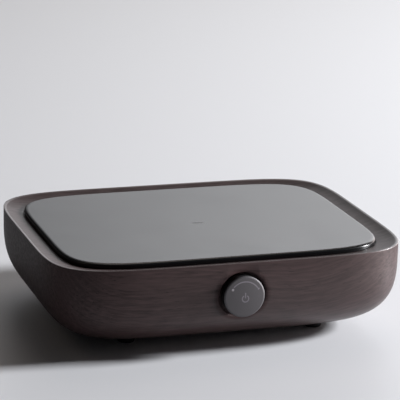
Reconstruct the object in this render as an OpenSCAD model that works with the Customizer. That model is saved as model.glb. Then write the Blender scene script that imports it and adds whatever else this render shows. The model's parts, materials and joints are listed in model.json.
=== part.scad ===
// Portable hot plate: a black glass cooking plate set in a milled walnut tub,
// with a radiant heater, a cooling fan and one knob that turns and presses.
// Millimetres, +Z up, the table at z = 0, the knob side at -Y.

/* [Body] */
// Width of the walnut tub, side to side
body_w = 270; // [250:1:320]
// Depth of the walnut tub, front to back
body_d = 221; // [205:1:280]
// Height of the rim's crest above the table
crest_z = 68; // [64:0.5:90]
// Gap between the tub's flat bottom and the table
foot_gap = 5.5; // [4:0.5:10]
// Squareness of the plan outline (2 is an ellipse, larger is squarer)
plan_n = 5.8; // [4.6:0.1:8]
// Height of the upright band under the crest
side_straight = 10; // [6:0.5:14]
// How far the side curve reaches inwards
side_run = 66; // [56:1:72]
// How far the side curve would run on below the flat bottom
side_overrun = 1.5; // [1:0.1:3]
// Squareness of the side curve
side_n = 3; // [2.6:0.1:3.4]
// Rounding of the crest's outer edge
crest_r = 0.5; // [0.4:0.1:1.5]

/* [Rim and plate] */
// Width of the dished rim between the crest and the plate
rim_w = 14.5; // [10:0.5:20]
// How far the rim falls from the crest to the plate
rim_drop = 3.4; // [1.5:0.1:3.6]
// Thickness of the glass plate
plate_t = 4; // [3.8:0.1:6]
// Height of the plate's top above the crest
plate_proud = 0.3; // [0:0.1:0.6]
// Clearance round the plate
plate_gap = 0.4; // [0.2:0.1:0.8]
// Width of the plate's polished edge, where the top curves over
plate_edge_w = 3; // [2:0.5:6]
// Height of the plate's polished edge
plate_edge_h = 1.6; // [1:0.1:2.6]
// Width of the seat under the plate's edge
seat_w = 9.5; // [7:0.5:12]
// Thickness of the seal between plate and seat
seal_t = 0.8; // [0.5:0.1:1.2]

/* [Tub] */
// Thickness of the walnut floor
floor_t = 9; // [8:0.5:12]
// Height of the electronics space above the floor
lower_h = 19.5; // [19:0.5:24]
// Width of the ledge that carries the heat shield
ledge_w = 10; // [8:0.5:12]

/* [Base cover] */
// Width of the base cover
cover_w = 168; // [164:1:180]
// Depth of the base cover
cover_d = 106; // [102:1:110]
// Corner radius of the base cover
cover_r = 18; // [10:1:24]
// Thickness of the base cover
cover_t = 2.5; // [2:0.1:3]
// How deep the base cover sits inside the flat bottom
cover_sink = 0.5; // [0.2:0.1:1]
// Width of the rebate that carries the base cover
cover_ledge = 7; // [6:0.5:8]
// Clearance round the base cover
cover_gap = 0.4; // [0.2:0.1:0.6]
// Width of one air slot
slot_w = 3; // [2:0.5:3.5]
// Spacing of the air slots
slot_pitch = 7; // [6:0.5:9]

/* [Feet] */
// Spacing of the feet, side to side
foot_span_x = 145; // [130:1:150]
// Spacing of the feet, front to back
foot_span_y = 126; // [124:1:128]
// Diameter of a foot
foot_d = 14; // [10:0.5:15]
// Diameter of a foot's stem
foot_stem_d = 6; // [4:0.5:7]
// Length of a foot's stem
foot_stem_l = 7; // [5:0.5:7.5]

/* [Knob] */
// Diameter of the knob
knob_d = 30.5; // [30:0.5:33]
// How far the knob stands out of the tub
knob_out = 5; // [3:0.5:8]
// Height of the knob's axis above the table
knob_z = 44; // [44:0.5:46]
// Depth of the round recess behind the knob
recess_l = 5.5; // [5:0.1:8]
// Clearance round the knob
knob_gap = 1.4; // [0.8:0.1:2]
// Bevel on the face disc's front edge
knob_bevel = 1.2; // [0.6:0.1:1.3]
// Wall of the knob
knob_wall = 2; // [1.5:0.1:3]
// Thickness of the metal disc on the knob's front
disc_t = 1.6; // [1.4:0.1:2]
// Thickness of the knob's front, disc included
knob_face_t = 3; // [2.8:0.1:3.4]
// How far the knob presses in
press_travel = 0.8; // [0.4:0.1:1]

/* [Encoder] */
// Wood left behind the knob's recess
web_t = 3; // [2.5:0.1:4]
// Diameter of the encoder's shaft
shaft_d = 6; // [5:0.5:6]
// Diameter of the encoder's bushing
bush_d = 7; // [7:0.5:9]
// Width and height of the encoder's body
encoder_w = 13; // [12.5:0.5:16]
// Depth of the encoder's body
encoder_t = 6; // [5.5:0.1:7]
// Diameter of the detent rotor
rotor_d = 10; // [9:0.5:10.5]
// Running clearance of a shaft in its bore
run_gap = 0.05; // [0.02:0.01:0.08]
// Width of the control board
control_w = 34; // [26:1:36]
// Height of the control board
control_h = 18; // [15:0.5:18.5]

/* [Heater] */
// Diameter of the heater's pan
element_d = 150; // [130:1:152]
// Height of the heater, pan floor to glass
element_h = 22; // [20:0.5:24]
// Sheet thickness of the pan
pan_t = 0.6; // [0.4:0.1:1]
// Thickness of the insulation disc
insul_t = 8; // [6:0.5:9]
// Width of the insulation ring
insul_ring_w = 8; // [6:0.5:10]
// Turns of the heating ribbon
coil_turns = 6; // [4:1:7]
// Thickness of the heating ribbon
ribbon_t = 1; // [0.6:0.1:1.4]
// Height of the heating ribbon
ribbon_h = 4; // [3:0.5:4.5]
// Diameter of the limiter's rod
limiter_d = 5; // [4:0.5:5]
// Sheet thickness of the heat shield
shield_t = 0.8; // [0.6:0.1:1.2]
// Height of the shield's round collar
collar_h = 12; // [6:0.5:12]
// Diameter of a supporting spring
spring_d = 12; // [9:0.5:14]
// Wire diameter of a supporting spring
wire_d = 1.2; // [0.8:0.1:1.4]

/* [Fan] */
// Width of the fan's frame
fan_w = 60; // [56:1:62]
// Height of the fan's frame
fan_t = 15; // [12:0.5:16]
// Diameter of the fan's hub
fan_hub_d = 24; // [20:1:28]
// Number of fan blades
blades = 7; // [5:1:9]
// Height of the bosses under the fan
fan_boss_h = 3; // [2:0.5:4]

/* [Main board] */
// Width of the main board
board_w = 70; // [68:1:72]
// Depth of the main board
board_d = 84; // [80:1:86]
// Thickness of both boards
board_t = 1.6; // [1:0.1:2]
// Height of the bosses under the board
board_boss_h = 5; // [3:0.5:5.5]

/* [Power inlet] */
// Place of the inlet to the right of the middle
inlet_x = 60; // [50:1:62]
// Width of the inlet's flange
flange_w = 50; // [48:0.5:52]
// Height of the inlet's flange
flange_h = 22; // [21.6:0.1:23]
// Thickness of the inlet's flange
flange_t = 3; // [2.5:0.1:4]
// How deep the flange's seat lies behind the tub's back
inlet_sink = 4.9; // [4.5:0.1:6]
// Width of the socket
socket_w = 24; // [23:0.1:24.5]
// Height of the socket
socket_h = 16.2; // [15.5:0.1:16.5]
// Depth of the socket
socket_l = 16; // [14:0.5:17]
// Wall round the socket
socket_wall = 1.7; // [1.4:0.1:2]
// Spacing of the flange's two screws
flange_span = 40; // [38:0.5:40]

/* [Hidden] */
$fn = 64;

// The origin lies under the middle of the footprint, knob included
origin_y = knob_out / 2;

// Clearance of a screw in its hole, of a part in its pocket, and of what presses in
screw_gap = 0.1;
fit_gap = 0.3;
eps = 0.01;

// Levels, from the table up
bottom_z = foot_gap;
floor_z = bottom_z + floor_t;
ledge_z = floor_z + lower_h;
shield_z = ledge_z + shield_t;
plate_z = crest_z + plate_proud - plate_t;
seat_z = plate_z - seal_t;
cover_z = bottom_z + cover_sink;
inside_z = cover_z + cover_t;
pan_z = plate_z - element_h;
insul_z = pan_z + pan_t;
coil_z = insul_z + insul_t;

// Insets of the outlines from the tub's widest outline
plate_in = rim_w;
tub_in = rim_w + seat_w;
lower_in = tub_in + ledge_w;

// Planes along Y, from the knob's face back to the control board
front_y = -body_d / 2;
knob_y = front_y - knob_out;
recess_y = front_y + recess_l;
web_y = recess_y + web_t;
cover_y = web_y + encoder_t;
encoder_cover_t = 0.8;
control_y = cover_y + encoder_cover_t;

// Curves of the plan and the side
ring_pts = 72;
side_steps = 14;
function power(v, e) = sign(v) * pow(abs(v), e);
function plan(inset) = [
    for (i = [0 : ring_pts - 1])
        let (t = 360 * i / ring_pts)
        [(body_w / 2 - inset) * power(cos(t), 2 / plan_n),
         (body_d / 2 - inset) * power(sin(t), 2 / plan_n)]
];
function at_height(outline, z) = [for (p = outline) [p.x, p.y, z]];
side_drop = crest_z - bottom_z - side_straight + side_overrun;
bottom_turn = asin(pow((side_drop - side_overrun) / side_drop, side_n / 2));
function side_in(t) = side_run * (1 - pow(cos(t), 2 / side_n));
function side_z(t) = crest_z - side_straight - side_drop * pow(sin(t), 2 / side_n);

// Skin over a stack of outlines with as many points each, capped at both ends
module loft(rings) {
    n = len(rings[0]);
    m = len(rings);
    sides = [
        for (j = [0 : m - 2], i = [0 : n - 1])
            let (k = (i + 1) % n)
            [j * n + i, (j + 1) * n + i, (j + 1) * n + k, j * n + k]
    ];
    first = [for (i = [0 : n - 1]) i];
    last = [for (i = [n - 1 : -1 : 0]) (m - 1) * n + i];
    polyhedron([for (r = rings) each r], concat([first], sides, [last]), convexity = 8);
}

// Points of a rectangle with round corners, centred
corner_steps = 8;
function round_rect(w, d, r) = [
    for (q = [0 : 3], i = [0 : corner_steps])
        let (a = 90 * q + 90 * i / corner_steps)
        [(q == 0 || q == 3 ? 1 : -1) * (w / 2 - r) + r * cos(a),
         (q < 2 ? 1 : -1) * (d / 2 - r) + r * sin(a)]
];

module in_place() translate([0, origin_y, 0]) children();

// A shape drawn along +Z is turned to run along +Y from plane y at the knob's axis
module on_knob_axis(y) translate([0, y, knob_z]) rotate([-90, 0, 0]) children();

// A shape drawn along +Z is turned to run out of the back from plane y at the inlet's axis
inlet_z = knob_z + 2;
seat_y = body_d / 2 - inlet_sink;
module on_inlet_axis(y) translate([inlet_x, y, inlet_z]) rotate([-90, 0, 0]) children();

module washer(r, hole_r, h) {
    difference() {
        cylinder(r = r, h = h);
        translate([0, 0, -eps]) cylinder(r = hole_r, h = h + 2 * eps);
    }
}

// Screw with a flat round head on top, pointing down, its head seated at z = 0
module screw(head_r, head_h, shank_r, shank_l) {
    cylinder(r = head_r, h = head_h);
    translate([0, 0, -shank_l]) cylinder(r = shank_r, h = shank_l + eps);
}

// Places of the fasteners and feet
foot_places = [for (x = [-1, 1], y = [-1, 1]) [x * foot_span_x / 2, y * foot_span_y / 2]];
cover_hole_x = cover_w / 2 - cover_ledge / 2;
cover_hole_y = cover_d / 2 - cover_ledge / 2;
cover_row = cover_d / 2 - cover_r;
cover_places = concat(
    [for (x = [-1, 1], y = [-1, 1]) [x * cover_hole_x, y * cover_row]],
    [for (y = [-1, 1]) [0, y * cover_hole_y]]
);
shield_hole_x = body_w / 2 - tub_in - ledge_w / 2;
shield_row = body_d / 6;
shield_places = [for (x = [-1, 1], y = [-1, 1]) [x * shield_hole_x, y * shield_row]];

// Screw sizes
cover_screw = [2.8, 1.2, 1.5, 5];
shield_screw = [2.8, 1.4, 1.5, 9];
fan_screw = [2.4, 1.4, 1.2, 2.4];
board_screw = [2.4, 1.4, 1.2, 4];
inlet_screw = [2.6, 1.4, 1.4, 12];

// The walnut tub
module tub_blank() {
    outside = [
        for (i = [side_steps : -1 : 0])
            let (t = bottom_turn * i / side_steps)
            at_height(plan(side_in(t)), side_z(t))
    ];
    crest = [
        for (a = [0, 30, 60, 90])
            at_height(plan(crest_r * (1 - cos(a))), crest_z - crest_r * (1 - sin(a)))
    ];
    // The rim is hollowed a little below the straight line from the crest to the plate
    dish_steps = 4;
    hollow = 0.35;
    dish = [
        for (i = [1 : dish_steps])
            let (s = i / dish_steps)
            at_height(
                plan(crest_r + (rim_w - plate_gap - crest_r) * s),
                crest_z - rim_drop * s - hollow * sin(180 * s)
            )
    ];
    inside = [
        at_height(plan(plate_in - plate_gap), seat_z),
        at_height(plan(tub_in), seat_z),
        at_height(plan(tub_in), ledge_z),
        at_height(plan(lower_in), ledge_z),
        at_height(plan(lower_in), floor_z)
    ];
    loft(concat(outside, crest, dish, inside));
}

pocket_w = control_w + 2 * fit_gap + 4;
pocket_h = control_h + 2 * fit_gap + 2;
tub_front = front_y + tub_in;
socket_body_w = socket_w + 2 * socket_wall;
socket_body_h = socket_h + 2 * socket_wall;

module housing() color("#3a2a26") in_place() difference() {
    tub_blank();
    // Opening and rebate for the base cover
    translate([0, 0, bottom_z - 1]) linear_extrude(floor_t + 2) polygon(
        round_rect(cover_w - 2 * cover_ledge, cover_d - 2 * cover_ledge, cover_r - cover_ledge));
    translate([0, 0, bottom_z - 1]) linear_extrude(cover_sink + cover_t + 1) polygon(
        round_rect(cover_w + 2 * cover_gap, cover_d + 2 * cover_gap, cover_r + cover_gap));
    // Recess for the knob and hole for the encoder's bushing
    on_knob_axis(knob_y) cylinder(r = knob_d / 2 + knob_gap, h = knob_out + recess_l);
    on_knob_axis(recess_y - 1) cylinder(r = bush_d / 2 + screw_gap, h = web_t + 2);
    // Pocket behind the knob for the encoder and its board
    translate([0, (web_y + tub_front) / 2 + 1, knob_z])
        cube([pocket_w, tub_front - web_y + 2, pocket_h], center = true);
    // Way through the back and flat seat for the power inlet
    on_inlet_axis(body_d / 2 - tub_in - 2)
        translate([0, 0, (tub_in + 2) / 2])
        cube([socket_body_w + 2 * fit_gap, socket_body_h + 2 * fit_gap, tub_in + 2], center = true);
    on_inlet_axis(seat_y) linear_extrude(inlet_sink + 2) polygon(
        round_rect(flange_w + 2 * fit_gap, flange_h + 2 * fit_gap, 3 + fit_gap));
    for (s = [-1, 1])
        on_inlet_axis(seat_y - inlet_screw[3] - 1)
        translate([s * flange_span / 2, 0, 0])
        cylinder(r = inlet_screw[2] + screw_gap, h = inlet_screw[3] + 2);
    // Pilot holes
    for (p = foot_places)
        translate([p.x, p.y, bottom_z - 1]) cylinder(r = foot_stem_d / 2 + run_gap, h = foot_stem_l + 1.5);
    for (p = cover_places)
        translate([p.x, p.y, inside_z - 1])
        cylinder(r = cover_screw[2] + screw_gap, h = cover_screw[3] - cover_t + 2.5);
    for (p = shield_places)
        translate([p.x, p.y, ledge_z - shield_screw[3]])
        cylinder(r = shield_screw[2] + screw_gap, h = shield_screw[3] + 1);
}

// The plate's upper edge curves over like a quarter of an ellipse and its lower edge is broken
plate_break = 0.4;
plate_top = plate_z + plate_t;
edge_turn = 18;
module glass_plate() color("#2b2b2d") in_place() {
    below = [
        at_height(plan(plate_in + plate_break), plate_z),
        at_height(plan(plate_in), plate_z + plate_break)
    ];
    edge = [
        for (a = [0 : edge_turn : 90])
            at_height(plan(plate_in + plate_edge_w * (1 - cos(a))), plate_top - plate_edge_h * (1 - sin(a)))
    ];
    loft(concat(below, edge));
}

module outline_ring(outer, inner, h) {
    linear_extrude(h) difference() {
        polygon(plan(outer));
        polygon(plan(inner));
    }
}

seal_lip = 1;
module plate_seal() color("#1c1c1c") in_place()
    translate([0, 0, seat_z]) outline_ring(plate_in + seal_lip, tub_in - seal_lip, seal_t);

// Sheet-steel shield with a round collar, on the tub's ledge
element_r = element_d / 2;
collar_gap = 4;
wire_hole_r = 6;
wire_clear = 6;
wire_x = element_r + collar_gap + wire_clear + wire_hole_r;
wire_places = [for (s = [-1, 1]) [s * wire_x, -body_d / 5]];
module heat_shield() color("#b9bcc0") in_place() {
    difference() {
        translate([0, 0, ledge_z]) linear_extrude(shield_t) polygon(plan(tub_in + fit_gap));
        for (p = shield_places)
            translate([p.x, p.y, ledge_z - 1]) cylinder(r = shield_screw[2] + screw_gap, h = shield_t + 2);
        for (p = wire_places)
            translate([p.x, p.y, ledge_z - 1]) cylinder(r = wire_hole_r, h = shield_t + 2);
    }
    translate([0, 0, shield_z - eps])
        washer(element_r + collar_gap + shield_t, element_r + collar_gap, collar_h);
}

module shield_screws() color("#c9c9c9") in_place()
    for (p = shield_places) translate([p.x, p.y, shield_z])
        screw(shield_screw[0], shield_screw[1], shield_screw[2], shield_screw[3] - shield_t - 1);

// Radiant heater: pan, insulation, ribbon, limiter and terminals
pan_wall_h = element_h - 2;
tab_t = 0.8;
limiter_a = 140;
terminal_a = -40;
limiter_z = coil_z + ribbon_h + limiter_d / 2 + 1.4;
head_l = 20;
head_w = 24;
head_h = 13;
head_gap = 1;
head_r0 = element_r + head_gap;
head_z = plate_z - head_gap - head_h;
well_w = 8;
well_l = 7;
well_depth = 6;
tab_l = head_r0 + head_l - element_r;

// A box drawn outwards from radius r along direction a
module outward(a, r, z) rotate([0, 0, a]) translate([r, 0, z]) children();

module element_pan() color("#aeb2b6") in_place() {
    difference() {
        translate([0, 0, pan_z]) cylinder(r = element_r, h = pan_wall_h);
        translate([0, 0, insul_z]) cylinder(r = element_r - pan_t, h = pan_wall_h);
        outward(limiter_a, element_r / 2, limiter_z)
            rotate([0, 90, 0]) cylinder(r = limiter_d / 2 + screw_gap, h = element_r);
    }
    for (a = [limiter_a, terminal_a])
        outward(a, element_r - pan_t / 2, head_z - tab_t)
            translate([0, -head_w / 2, 0]) cube([tab_l + pan_t / 2, head_w, tab_t]);
}

insul_gap = 0.1;
insul_r = element_r - pan_t - insul_gap;
module insulation_base() color("#e6e2d8") in_place()
    translate([0, 0, insul_z]) cylinder(r = insul_r, h = insul_t);

module insulation_ring() color("#efece4") in_place() difference() {
    translate([0, 0, coil_z]) washer(insul_r, insul_r - insul_ring_w, plate_z - coil_z);
    for (a = [limiter_a, limiter_a + 180])
        outward(a, element_r / 2, limiter_z)
            rotate([0, 90, 0]) cylinder(r = limiter_d / 2 + screw_gap, h = element_r);
}

// Ribbon standing on edge, wound in a flat spiral from the middle outwards
coil_r0 = 14;
coil_clear = 4;
coil_r1 = insul_r - insul_ring_w - coil_clear;
coil_steps = 32;
function coil_r(s) = coil_r0 + (coil_r1 - coil_r0) * s;
module heating_coil() color("#b5651d") in_place() {
    n = coil_turns * coil_steps;
    loft([
        for (i = [0 : n])
            let (a = -360 * i / coil_steps, r = coil_r(i / n))
            [for (c = [[0, 0], [1, 0], [1, 1], [0, 1]])
                let (q = r + (c.x - 0.5) * ribbon_t)
                [q * cos(a), q * sin(a), coil_z + c.y * ribbon_h]]
    ]);
}

rod_end = insul_r - 3;
rod_grip = 6;
module limiter_rod() color("#d8d8d2") in_place() outward(limiter_a, -rod_end, limiter_z)
    rotate([0, 90, 0]) cylinder(r = limiter_d / 2, h = rod_end + head_r0 + rod_grip);

module ceramic_block(a) outward(a, head_r0, head_z)
    difference() {
        translate([0, -head_w / 2, 0]) cube([head_l, head_w, head_h]);
        // Two wells on the outer end for the terminals
        for (s = [-1, 1])
            translate([head_l - well_l, s * head_w / 4 - well_w / 2, head_h - well_depth])
            cube([well_l + 1, well_w, well_depth + 1]);
    }

module limiter_head() color("#d9cfbb") in_place() difference() {
    ceramic_block(limiter_a);
    outward(limiter_a, head_r0 - 1, limiter_z)
        rotate([0, 90, 0]) cylinder(r = limiter_d / 2 + run_gap, h = rod_grip + 1);
}

module element_terminal() color("#e3dccb") in_place() ceramic_block(terminal_a);

tab_blade = [7, 6.3, 0.8];
module terminal_tabs() color("#c8a85a") in_place()
    for (a = [limiter_a, terminal_a], s = [-1, 1])
        outward(a, head_r0 + head_l - well_l + 1, head_z + head_h - well_depth)
        translate([0, s * head_w / 4 - tab_blade.y / 2, 0])
        cube(tab_blade);

// Three wire springs press the heater up against the glass
spring_r = element_r * 0.72;
spring_turns = 4;
spring_steps = 12;
module element_springs() color("#8f9499") in_place()
    for (k = [0 : 2]) rotate([0, 0, 90 + 120 * k]) translate([spring_r, 0, shield_z + wire_d / 2]) {
        n = spring_turns * spring_steps;
        rise = pan_z - shield_z - wire_d;
        loft([
            for (i = [0 : n])
                let (a = -360 * i / spring_steps, z = rise * i / n)
                [for (j = [0 : 5])
                    let (q = (spring_d - wire_d) / 2 + wire_d / 2 * cos(60 * j))
                    [q * cos(a), q * sin(a), z + wire_d / 2 * sin(60 * j)]]
        ]);
    }

// Base cover with air slots, and the bosses for the fan and the board
fan_x = -cover_w / 2 + cover_ledge + 6 + fan_w / 2;
fan_hole = fan_w / 2 - 5;
fan_places = [for (x = [-1, 1], y = [-1, 1]) [fan_x + x * fan_hole, y * fan_hole]];
board_x = cover_w / 2 - cover_ledge - 4 - board_w / 2;
board_hole_x = board_w / 2 - 4;
board_hole_y = board_d / 2 - 4;
board_places = [for (x = [-1, 1], y = [-1, 1]) [board_x + x * board_hole_x, y * board_hole_y]];
fan_bore_r = fan_w / 2 - 2;
boss_r = 3.4;

// Row of round-ended slots inside a circle of radius r
module slots_in_circle(r) {
    rows = floor((r - slot_w) / slot_pitch);
    for (k = [-rows : rows]) {
        y = k * slot_pitch;
        half = sqrt(r * r - y * y) - slot_w;
        translate([-half, y, 0]) slot(2 * half);
    }
}

module slot(l) translate([0, 0, cover_z - 1]) linear_extrude(cover_t + 2)
    translate([l / 2, 0]) polygon(round_rect(l + slot_w, slot_w, slot_w / 2 - eps));

module base_cover() color("#161617") in_place() {
    difference() {
        translate([0, 0, cover_z]) linear_extrude(cover_t) polygon(round_rect(cover_w, cover_d, cover_r));
        translate([fan_x, 0, 0]) slots_in_circle(fan_bore_r);
        exhaust_rows = floor((board_d / 2 - 14) / slot_pitch);
        for (k = [-exhaust_rows : exhaust_rows])
            translate([board_x - board_w / 4, k * slot_pitch, 0]) slot(board_w / 2);
        for (p = cover_places) translate([p.x, p.y, 0]) {
            translate([0, 0, cover_z - 1]) cylinder(r = cover_screw[2] + screw_gap, h = cover_t + 2);
            translate([0, 0, cover_z - 1]) cylinder(r = cover_screw[0] + screw_gap, h = cover_screw[1] + 1);
        }
    }
    for (p = fan_places) translate([p.x, p.y, inside_z - eps])
        washer(boss_r, fan_screw[2] + screw_gap, fan_boss_h + eps);
    for (p = board_places) translate([p.x, p.y, inside_z - eps])
        washer(boss_r, board_screw[2] + screw_gap, board_boss_h + eps);
}

module cover_screws() color("#2a2a2a") in_place()
    for (p = cover_places) translate([p.x, p.y, cover_z + cover_screw[1]])
        mirror([0, 0, 1]) screw(cover_screw[0], cover_screw[1], cover_screw[2], cover_screw[3]);

// Rubber feet, tapered, each with a stem that pushes into the tub
foot_taper = 0.8;
foot_edge = 0.6;
module feet() color("#141414") in_place() for (p = foot_places) translate([p.x, p.y, 0]) {
    rotate_extrude() polygon([
        [0, 0],
        [foot_d / 2 - foot_taper - foot_edge, 0],
        [foot_d / 2 - foot_taper, foot_edge],
        [foot_d / 2, bottom_z],
        [0, bottom_z]
    ]);
    translate([0, 0, bottom_z - eps]) cylinder(d = foot_stem_d, h = foot_stem_l + eps);
}

// Axial fan that draws air in through the base cover
fan_z = inside_z + fan_boss_h;
fan_base_t = 3;
fan_post_r = 2;
strut_w = 3;
fan_gap = 0.8;
hub_r = fan_hub_d / 2;
module fan_frame() color("#202124") in_place() translate([fan_x, 0, fan_z]) {
    difference() {
        linear_extrude(fan_t) polygon(round_rect(fan_w, fan_w, 4));
        translate([0, 0, -1]) cylinder(r = fan_bore_r, h = fan_t + 2);
        for (x = [-1, 1], y = [-1, 1])
            translate([x * fan_hole, y * fan_hole, -1]) {
                cylinder(r = fan_screw[2] + screw_gap, h = fan_t + 2);
                translate([0, 0, fan_base_t + 1]) cylinder(r = fan_screw[0] + 0.6, h = fan_t);
            }
    }
    // Motor base on three struts, with the bearing post
    difference() {
        union() {
            cylinder(r = hub_r, h = fan_base_t - fan_gap);
            for (k = [0 : 2]) rotate([0, 0, 120 * k + 30])
                translate([0, -strut_w / 2, 0]) cube([fan_bore_r + 1, strut_w, fan_base_t - fan_gap]);
            cylinder(r = fan_post_r + 1.5, h = fan_t - fan_base_t - 2);
        }
        translate([0, 0, -1]) cylinder(r = fan_post_r / 2 + run_gap, h = fan_t);
    }
}

// The rotor: a hub cup over the bearing post, its pin, and slanted blades
blade_t = 1.2;
blade_tilt = 38;
hub_wall = 2;
blade_rim = 0.5;
rotor_h = fan_t - fan_base_t - 1;
blade_h = rotor_h - 2 * blade_rim;
blade_half = (blade_h * tan(blade_tilt) + blade_t / cos(blade_tilt)) / 2;
blade_root = hub_r - 0.85 * hub_wall;
blade_tip = sqrt(pow(fan_bore_r - fan_gap, 2) - pow(blade_half, 2));
module fan_rotor() color("#2c2d31") in_place() translate([fan_x, 0, fan_z]) {
    translate([0, 0, fan_base_t]) difference() {
        cylinder(r = hub_r, h = rotor_h);
        translate([0, 0, -1]) cylinder(r = hub_r - hub_wall, h = rotor_h - 0.5);
    }
    translate([0, 0, 0.5]) cylinder(r = fan_post_r / 2, h = fan_t - 2);
    lean = blade_h * tan(blade_tilt) / 2;
    thick = blade_t / cos(blade_tilt) / 2;
    for (k = [0 : blades - 1]) rotate([0, 0, 360 * k / blades])
        translate([blade_root, 0, fan_base_t + blade_rim])
        rotate([90, 0, 90])
        linear_extrude(blade_tip - blade_root)
        polygon([[-lean - thick, 0], [-lean + thick, 0], [lean + thick, blade_h], [lean - thick, blade_h]]);
}

module fan_screws() color("#c9c9c9") in_place() for (p = fan_places)
    translate([p.x, p.y, fan_z + fan_base_t])
    screw(fan_screw[0], fan_screw[1], fan_screw[2], fan_screw[3] + fan_base_t);

// Main board and what is soldered to it
board_z = inside_z + board_boss_h;
part_z = board_z + board_t;
room_h = ledge_z - part_z - 1.4;
module main_board() color("#1f5a34") in_place() difference() {
    translate([board_x, 0, board_z + board_t / 2]) cube([board_w, board_d, board_t], center = true);
    for (p = board_places) translate([p.x, p.y, board_z - 1])
        cylinder(r = board_screw[2] + screw_gap, h = board_t + 2);
}

module board_screws() color("#c9c9c9") in_place() for (p = board_places)
    translate([p.x, p.y, part_z])
    screw(board_screw[0], board_screw[1], board_screw[2], board_screw[3] + board_t);

// A box that stands on the board at a place measured from the board's middle
module on_board(x, y, size) translate([board_x + x - size.x / 2, y - size.y / 2, part_z]) cube(size);

tall_h = 16;
part_row = 16;
sink_fins = 6;
sink_size = [22, 34, min(room_h, tall_h)];
sink_base = 4;
sink_fin_t = 1.4;
module heat_sink() color("#8d9196") in_place() difference() {
    on_board(-part_row, 0, sink_size);
    gap = (sink_size.y - sink_fins * sink_fin_t) / (sink_fins - 1);
    for (k = [0 : sink_fins - 2])
        translate([
            board_x - part_row - sink_size.x / 2 - 1,
            -sink_size.y / 2 + sink_fin_t + k * (gap + sink_fin_t),
            part_z + sink_base])
        cube([sink_size.x + 2, gap, sink_size.z]);
}

relay_size = [19, 15.5, 15];
relay_y = 24;
module relay() color("#2456a6") in_place() on_board(part_row, relay_y, relay_size);

// Wound transformer: a laminated core with windows, and the winding on its middle leg
core = [20, 14, min(room_h, tall_h)];
core_y = -2;
core_leg = 3.5;
winding_out = 2.5;
module transformer() color("#6d6a63") in_place() translate([board_x + part_row, core_y, part_z]) {
    window = core.x / 2 - 1.5 * core_leg;
    difference() {
        translate([-core.x / 2, -core.y / 2, 0]) cube(core);
        for (s = [-1, 1])
            translate([s * (core_leg + window) / 2 - window / 2, -core.y, core_leg])
            cube([window, 2 * core.y, core.z - 2 * core_leg]);
    }
    winding_w = core_leg + window;
    translate([-winding_w / 2, -core.y / 2 - winding_out, core_leg + 0.5])
        cube([winding_w, core.y + 2 * winding_out, core.z - 2 * core_leg - 1]);
}

capacitor_size = [18, 8.5, 14];
capacitor_y = -24;
module filter_capacitor() color("#c9b23c") in_place() on_board(part_row, capacitor_y, capacitor_size);

// Fuse tube held in two clips
fuse_l = 22;
fuse_r = 2.6;
fuse_y = 30;
clip_w = 5;
clip_wall = 0.6;
clip_base = 0.8;
module fuse() color("#d6d6d0") in_place() translate([board_x - part_row, fuse_y, part_z]) {
    for (s = [-1, 1])
        translate([s * (fuse_l / 2 - 1) - clip_w / 2, -fuse_r - clip_wall, 0])
        cube([clip_w, 2 * (fuse_r + clip_wall), fuse_r]);
    translate([-fuse_l / 2, 0, fuse_r + clip_base])
        rotate([0, 90, 0]) cylinder(r = fuse_r, h = fuse_l);
}

// Push-and-turn encoder behind the front wall
washer_t = 0.6;
nut_t = 2;
nut_af = bush_d + 3;
bush_end = 0.3;
bush_l = web_t + washer_t + nut_t + bush_end;
rotor_gap = 0.4;
cavity_r = rotor_d / 2 + rotor_gap;
cavity_front = 1;
dome_h = 0.8;
press_gap = 0.2;
shaft_tail = control_y - dome_h - press_gap - press_travel;
module control_board() color("#1f5a34") in_place()
    translate([0, control_y + board_t / 2, knob_z]) cube([control_w, board_t, control_h], center = true);

module encoder_body() color("#3b3f45") in_place() difference() {
    union() {
        translate([0, web_y + encoder_t / 2, knob_z])
            cube([encoder_w, encoder_t, encoder_w], center = true);
        on_knob_axis(web_y - bush_l) cylinder(d = bush_d, h = bush_l + eps);
    }
    on_knob_axis(web_y - bush_l - 1) cylinder(r = shaft_d / 2 + run_gap, h = bush_l + encoder_t);
    on_knob_axis(web_y + cavity_front) cylinder(r = cavity_r, h = encoder_t);
}

module encoder_cover() color("#b9bcc0") in_place() difference() {
    translate([0, cover_y + encoder_cover_t / 2, knob_z])
        cube([encoder_w, encoder_cover_t, encoder_w], center = true);
    on_knob_axis(cover_y - 1) cylinder(r = shaft_d / 2 + 2 * fit_gap, h = encoder_cover_t + 2);
}

// Detent wheel that turns with the shaft and lets it slide
detents = 20;
detent_r = 0.5;
detent_out = 0.15;
rotor_t = encoder_t - cavity_front - 2 * fit_gap;
module encoder_rotor() color("#e8e4da") in_place()
    on_knob_axis(web_y + cavity_front + fit_gap) difference() {
        cylinder(r = rotor_d / 2, h = rotor_t);
        translate([0, 0, -1]) cylinder(r = shaft_d / 2 + run_gap, h = rotor_t + 2);
        for (k = [0 : detents - 1]) rotate([0, 0, 360 * k / detents])
            translate([rotor_d / 2 + detent_out, 0, rotor_t / 2]) cylinder(r = detent_r, h = rotor_t);
    }

// Shaft with a flat on its knob end
tip_gap = 0.2;
shaft_tip = knob_y + knob_face_t + tip_gap;
hub_end = web_y - bush_l - press_travel - fit_gap;
flat_cut = shaft_d / 4;
flat_l = 20;
module flat_side(gap) translate([-shaft_d, shaft_d / 2 - flat_cut + gap, -1])
    cube([2 * shaft_d, shaft_d, flat_l]);

module encoder_shaft() color("#c7cace") in_place() difference() {
    on_knob_axis(shaft_tip) cylinder(r = shaft_d / 2, h = shaft_tail - shaft_tip);
    intersection() {
        on_knob_axis(shaft_tip) flat_side(0);
        on_knob_axis(shaft_tip - 1) cylinder(r = shaft_d, h = hub_end - shaft_tip + 1);
    }
}

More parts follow.
